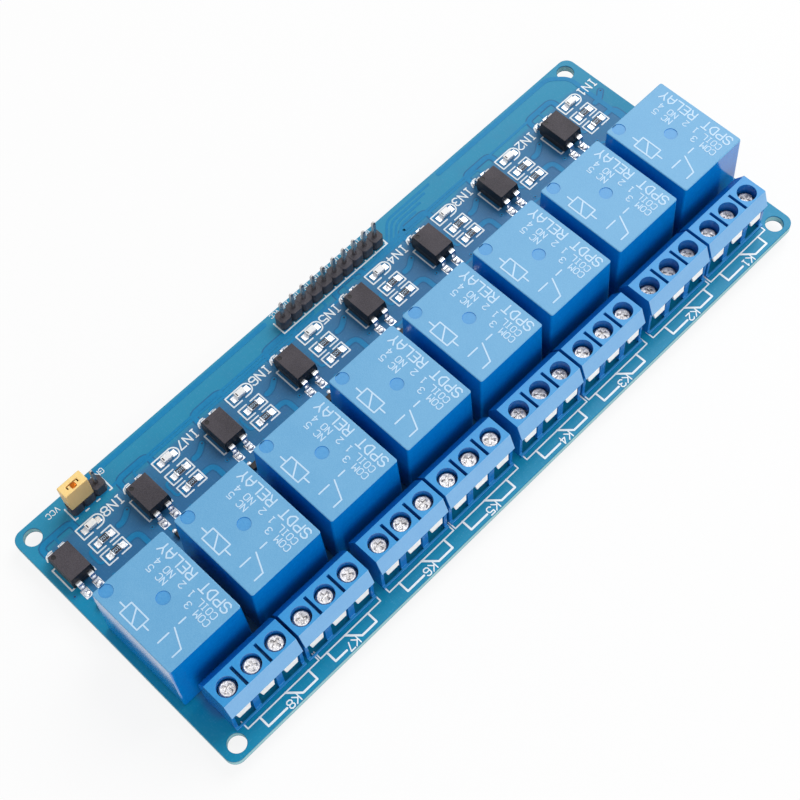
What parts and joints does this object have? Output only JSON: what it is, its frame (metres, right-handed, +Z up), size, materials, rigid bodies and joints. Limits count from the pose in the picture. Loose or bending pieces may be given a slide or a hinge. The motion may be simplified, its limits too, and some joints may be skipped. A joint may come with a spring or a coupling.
{
  "type": "relay module board",
  "caption": "Long circuit board with a row of sealed relays, screw terminals along the front, input optocouplers, indicator lamps, a pin header and a supply jumper.",
  "frame": {"origin": "middle of the board's footprint, on the plane that the soldered tails stand on", "axes": "+X along the board towards channel 1, +Y from the screw terminals to the pin headers, +Z up"},
  "size_m": [0.1386, 0.0558, 0.0189],
  "materials": {
    "board": "solder mask over glass laminate",
    "relay_cover": "polished moulded cover",
    "terminal_plastic": "moulded, slightly glossy",
    "screw_steel": "bright plated",
    "contact_tin": "tin plated strip",
    "package_black": "moulded epoxy",
    "lead_tin": "tinned",
    "led_lens": "milky lens",
    "resistor_ceramic": "glazed film with tinned ends",
    "header_plastic": "moulded",
    "pin_metal": "tin plated",
    "cap_plastic": "moulded",
    "clip_brass": "spring brass",
    "solder": "solder"
  },
  "bodies": {
    "board_assembly": {"circuit_board": "board", "relay_1": "relay_cover", "relay_2": "relay_cover", "relay_3": "relay_cover", "relay_4": "relay_cover", "relay_5": "relay_cover", "relay_6": "relay_cover", "relay_7": "relay_cover", "relay_8": "relay_cover", "terminal_housing_1": "terminal_plastic", "terminal_housing_2": "terminal_plastic", "terminal_housing_3": "terminal_plastic", "terminal_housing_4": "terminal_plastic", "terminal_housing_5": "terminal_plastic", "terminal_housing_6": "terminal_plastic", "terminal_housing_7": "terminal_plastic", "terminal_housing_8": "terminal_plastic", "terminal_contacts": "contact_tin", "optocoupler_bodies": "package_black", "optocoupler_leads": "lead_tin", "indicator_leds": "led_lens", "chip_resistors": "resistor_ceramic", "driver_transistors": "package_black", "flyback_diodes": "package_black", "input_header_body": "header_plastic", "input_header_pins": "pin_metal", "jumper_header_body": "header_plastic", "jumper_header_pins": "pin_metal", "solder_joints": "solder"},
    "jumper": {"jumper_cap": "cap_plastic", "jumper_clip": "clip_brass"},
    "screw_1a": {"terminal_screw_1a": "screw_steel"},
    "screw_1b": {"terminal_screw_1b": "screw_steel"},
    "screw_1c": {"terminal_screw_1c": "screw_steel"},
    "screw_2a": {"terminal_screw_2a": "screw_steel"},
    "screw_2b": {"terminal_screw_2b": "screw_steel"},
    "screw_2c": {"terminal_screw_2c": "screw_steel"},
    "screw_3a": {"terminal_screw_3a": "screw_steel"},
    "screw_3b": {"terminal_screw_3b": "screw_steel"},
    "screw_3c": {"terminal_screw_3c": "screw_steel"},
    "screw_4a": {"terminal_screw_4a": "screw_steel"},
    "screw_4b": {"terminal_screw_4b": "screw_steel"},
    "screw_4c": {"terminal_screw_4c": "screw_steel"},
    "screw_5a": {"terminal_screw_5a": "screw_steel"},
    "screw_5b": {"terminal_screw_5b": "screw_steel"},
    "screw_5c": {"terminal_screw_5c": "screw_steel"},
    "screw_6a": {"terminal_screw_6a": "screw_steel"},
    "screw_6b": {"terminal_screw_6b": "screw_steel"},
    "screw_6c": {"terminal_screw_6c": "screw_steel"},
    "screw_7a": {"terminal_screw_7a": "screw_steel"},
    "screw_7b": {"terminal_screw_7b": "screw_steel"},
    "screw_7c": {"terminal_screw_7c": "screw_steel"},
    "screw_8a": {"terminal_screw_8a": "screw_steel"},
    "screw_8b": {"terminal_screw_8b": "screw_steel"},
    "screw_8c": {"terminal_screw_8c": "screw_steel"}
  },
  "joints": [
    {"name": "jumper_pull", "type": "slide", "parent": "board_assembly", "child": "jumper", "axis": [0, 0, 1], "range_m": [0, 0.009]},
    {"name": "screw_1a_turn", "type": "hinge", "parent": "board_assembly", "child": "screw_1a", "pos_m": [0.06196, -0.02085, 0.0101], "axis": [0, 0, 1], "continuous": true},
    {"name": "screw_1b_turn", "type": "hinge", "parent": "board_assembly", "child": "screw_1b", "pos_m": [0.05688, -0.02085, 0.0101], "axis": [0, 0, 1], "continuous": true},
    {"name": "screw_1c_turn", "type": "hinge", "parent": "board_assembly", "child": "screw_1c", "pos_m": [0.0518, -0.02085, 0.0101], "axis": [0, 0, 1], "continuous": true},
    {"name": "screw_2a_turn", "type": "hinge", "parent": "board_assembly", "child": "screw_2a", "pos_m": [0.04616, -0.02085, 0.0101], "axis": [0, 0, 1], "continuous": true},
    {"name": "screw_2b_turn", "type": "hinge", "parent": "board_assembly", "child": "screw_2b", "pos_m": [0.04108, -0.02085, 0.0101], "axis": [0, 0, 1], "continuous": true},
    {"name": "screw_2c_turn", "type": "hinge", "parent": "board_assembly", "child": "screw_2c", "pos_m": [0.036, -0.02085, 0.0101], "axis": [0, 0, 1], "continuous": true},
    {"name": "screw_3a_turn", "type": "hinge", "parent": "board_assembly", "child": "screw_3a", "pos_m": [0.02914, -0.02085, 0.0101], "axis": [0, 0, 1], "continuous": true},
    {"name": "screw_3b_turn", "type": "hinge", "parent": "board_assembly", "child": "screw_3b", "pos_m": [0.02406, -0.02085, 0.0101], "axis": [0, 0, 1], "continuous": true},
    {"name": "screw_3c_turn", "type": "hinge", "parent": "board_assembly", "child": "screw_3c", "pos_m": [0.01898, -0.02085, 0.0101], "axis": [0, 0, 1], "continuous": true},
    {"name": "screw_4a_turn", "type": "hinge", "parent": "board_assembly", "child": "screw_4a", "pos_m": [0.01334, -0.02085, 0.0101], "axis": [0, 0, 1], "continuous": true},
    {"name": "screw_4b_turn", "type": "hinge", "parent": "board_assembly", "child": "screw_4b", "pos_m": [0.00826, -0.02085, 0.0101], "axis": [0, 0, 1], "continuous": true},
    {"name": "screw_4c_turn", "type": "hinge", "parent": "board_assembly", "child": "screw_4c", "pos_m": [0.00318, -0.02085, 0.0101], "axis": [0, 0, 1], "continuous": true},
    {"name": "screw_5a_turn", "type": "hinge", "parent": "board_assembly", "child": "screw_5a", "pos_m": [-0.00368, -0.02085, 0.0101], "axis": [0, 0, 1], "continuous": true},
    {"name": "screw_5b_turn", "type": "hinge", "parent": "board_assembly", "child": "screw_5b", "pos_m": [-0.00876, -0.02085, 0.0101], "axis": [0, 0, 1], "continuous": true},
    {"name": "screw_5c_turn", "type": "hinge", "parent": "board_assembly", "child": "screw_5c", "pos_m": [-0.01384, -0.02085, 0.0101], "axis": [0, 0, 1], "continuous": true},
    {"name": "screw_6a_turn", "type": "hinge", "parent": "board_assembly", "child": "screw_6a", "pos_m": [-0.01948, -0.02085, 0.0101], "axis": [0, 0, 1], "continuous": true},
    {"name": "screw_6b_turn", "type": "hinge", "parent": "board_assembly", "child": "screw_6b", "pos_m": [-0.02456, -0.02085, 0.0101], "axis": [0, 0, 1], "continuous": true},
    {"name": "screw_6c_turn", "type": "hinge", "parent": "board_assembly", "child": "screw_6c", "pos_m": [-0.02964, -0.02085, 0.0101], "axis": [0, 0, 1], "continuous": true},
    {"name": "screw_7a_turn", "type": "hinge", "parent": "board_assembly", "child": "screw_7a", "pos_m": [-0.0365, -0.02085, 0.0101], "axis": [0, 0, 1], "continuous": true},
    {"name": "screw_7b_turn", "type": "hinge", "parent": "board_assembly", "child": "screw_7b", "pos_m": [-0.04158, -0.02085, 0.0101], "axis": [0, 0, 1], "continuous": true},
    {"name": "screw_7c_turn", "type": "hinge", "parent": "board_assembly", "child": "screw_7c", "pos_m": [-0.04666, -0.02085, 0.0101], "axis": [0, 0, 1], "continuous": true},
    {"name": "screw_8a_turn", "type": "hinge", "parent": "board_assembly", "child": "screw_8a", "pos_m": [-0.0523, -0.02085, 0.0101], "axis": [0, 0, 1], "continuous": true},
    {"name": "screw_8b_turn", "type": "hinge", "parent": "board_assembly", "child": "screw_8b", "pos_m": [-0.05738, -0.02085, 0.0101], "axis": [0, 0, 1], "continuous": true},
    {"name": "screw_8c_turn", "type": "hinge", "parent": "board_assembly", "child": "screw_8c", "pos_m": [-0.06246, -0.02085, 0.0101], "axis": [0, 0, 1], "continuous": true}
  ]
}
